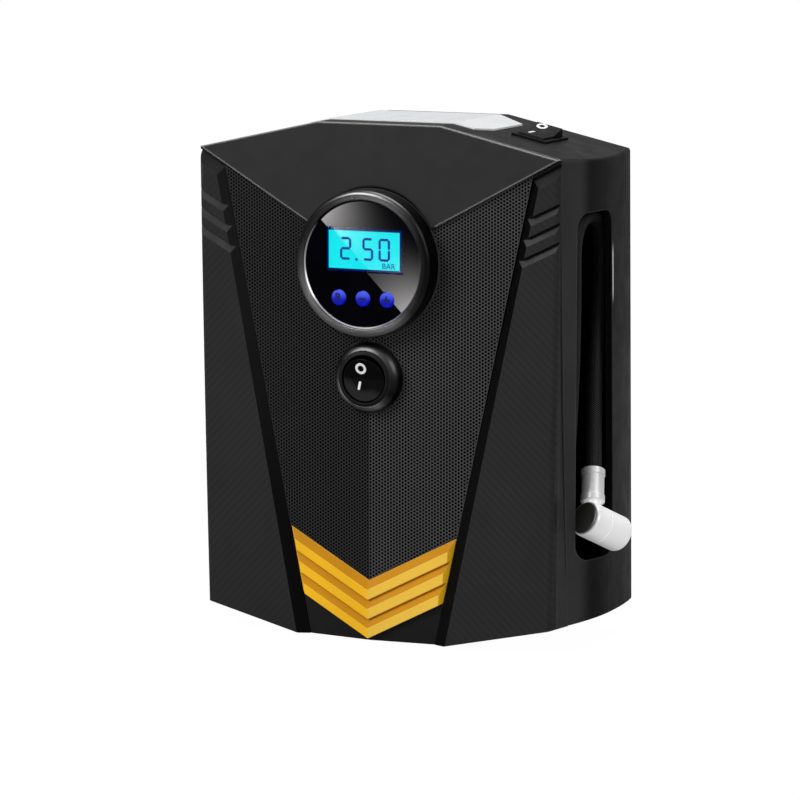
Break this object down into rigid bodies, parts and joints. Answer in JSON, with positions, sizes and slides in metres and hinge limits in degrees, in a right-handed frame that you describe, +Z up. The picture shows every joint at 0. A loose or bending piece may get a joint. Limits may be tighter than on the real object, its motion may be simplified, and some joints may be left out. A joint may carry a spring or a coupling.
{
  "type": "portable tyre inflator",
  "caption": "Box-shaped 12 V tyre inflator with a round pressure readout, a rocker switch, a top lamp, gold chevron trim and an air hose with a screw-on chuck stowed in a side recess.",
  "frame": {"origin": "centre of the case's footprint at the underside of the feet", "axes": "+Z up, -Y towards the front with the gauge, +X towards the side that holds the hose"},
  "size_m": [0.1696, 0.076, 0.1905],
  "materials": {
    "shell_black": "satin moulded black",
    "wing_carbon": "carbon weave print under satin lacquer",
    "mesh_black": "black with a fine hexagon mesh",
    "brow_black": "fine grain black",
    "trim_gold": "gold lacquer",
    "gloss_black": "piano black",
    "gauge_glass": "clear lens",
    "inner_black": "plain black",
    "circuit_board": "green board",
    "lcd_cyan": "backlit blue display",
    "key_blue": "lit blue keys",
    "rocker_black": "satin black",
    "lamp_frost": "frosted lamp lens",
    "tray_white": "white reflector",
    "brass_parts": "plain brass",
    "screw_steel": "zinc plated",
    "rubber_black": "matt black",
    "motor_steel": "zinc plated steel",
    "magnet_ferrite": "dark ferrite",
    "gear_iron": "sintered, oiled",
    "cast_aluminium": "die cast",
    "hose_braid": "rubber under a black textile braid",
    "ferrule_aluminium": "crimped, satin",
    "chuck_chrome": "satin nickel"
  },
  "bodies": {
    "case": {"rear_shell": "shell_black", "front_shell": "shell_black", "right_wing_panel": "wing_carbon", "left_wing_panel": "wing_carbon", "mesh_panel": "mesh_black", "brow_cover": "brow_black", "chevron_trim": "trim_gold", "gauge_bezel": "gloss_black", "gauge_lens": "gauge_glass", "gauge_cup": "inner_black", "gauge_dial": "inner_black", "display_board": "circuit_board", "lcd_module": "lcd_cyan", "power_switch_ring": "gloss_black", "power_switch_body": "inner_black", "lamp_lens": "lamp_frost", "lamp_tray": "tray_white", "lamp_board": "circuit_board", "lamp_switch_body": "inner_black", "switch_terminals": "brass_parts", "case_screws": "screw_steel", "rubber_feet": "rubber_black", "cord_gland": "rubber_black", "motor_can": "motor_steel", "motor_end_cap": "inner_black", "motor_magnets": "magnet_ferrite", "gear_axle": "motor_steel", "compressor_frame": "cast_aluminium", "cylinder": "cast_aluminium", "cylinder_head": "cast_aluminium", "head_screws": "screw_steel", "rubber_mounts": "rubber_black", "frame_screws": "screw_steel", "air_tube": "rubber_black", "air_tee": "brass_parts", "pressure_sensor": "inner_black", "hose_outlet_elbow": "brass_parts", "outlet_nut": "brass_parts", "air_hose": "hose_braid", "hose_ferrule": "ferrule_aluminium", "chuck_elbow": "chuck_chrome", "chuck_seal": "rubber_black"},
    "power_rocker": {"power_rocker": "rocker_black"},
    "lamp_rocker": {"lamp_rocker": "rocker_black"},
    "key_reset": {"key_reset": "key_blue"},
    "key_minus": {"key_minus": "key_blue"},
    "key_plus": {"key_plus": "key_blue"},
    "rotor": {"motor_rotor": "motor_steel", "motor_pinion": "brass_parts"},
    "crank": {"crank_gear": "gear_iron"},
    "piston": {"piston_rod": "cast_aluminium", "piston_cup_seal": "rubber_black"},
    "chuck_cap": {"chuck_cap": "chuck_chrome"}
  },
  "joints": [
    {"name": "rotor_spin", "type": "hinge", "parent": "case", "child": "rotor", "pos_m": [0, 0.006, 0.034], "axis": [1, 0, 0], "continuous": true},
    {"name": "crank_spin", "type": "hinge", "parent": "case", "child": "crank", "pos_m": [0.021, 0.006, 0.0572], "axis": [1, 0, 0], "continuous": true},
    {"name": "piston_stroke", "type": "slide", "parent": "case", "child": "piston", "axis": [0, 0, 1], "range_m": [0, 0.014]},
    {"name": "power_rocker_tilt", "type": "hinge", "parent": "case", "child": "power_rocker", "pos_m": [0, -0.0336, 0.0982], "axis": [-1, 0, 0], "range_deg": [0, 14]},
    {"name": "lamp_rocker_tilt", "type": "hinge", "parent": "case", "child": "lamp_rocker", "pos_m": [0.0492, 0.009, 0.18311], "axis": [-0.9761, 0, 0.2172], "range_deg": [0, 18]},
    {"name": "key_reset_press", "type": "slide", "parent": "case", "child": "key_reset", "axis": [0, 1, 0], "range_m": [0, 0.0006], "stiffness_N_per_m": 300},
    {"name": "key_minus_press", "type": "slide", "parent": "case", "child": "key_minus", "axis": [0, 1, 0], "range_m": [0, 0.0006], "stiffness_N_per_m": 300},
    {"name": "key_plus_press", "type": "slide", "parent": "case", "child": "key_plus", "axis": [0, 1, 0], "range_m": [0, 0.0006], "stiffness_N_per_m": 300},
    {"name": "chuck_cap_turn", "type": "hinge", "parent": "case", "child": "chuck_cap", "pos_m": [0.08267, -0.00085, 0.04312], "axis": [-0.3651, -0.8293, 0.4231], "continuous": true}
  ],
  "couplings": [
    {"joint": "crank_spin", "follows": "rotor_spin", "ratio": -0.20833}
  ]
}
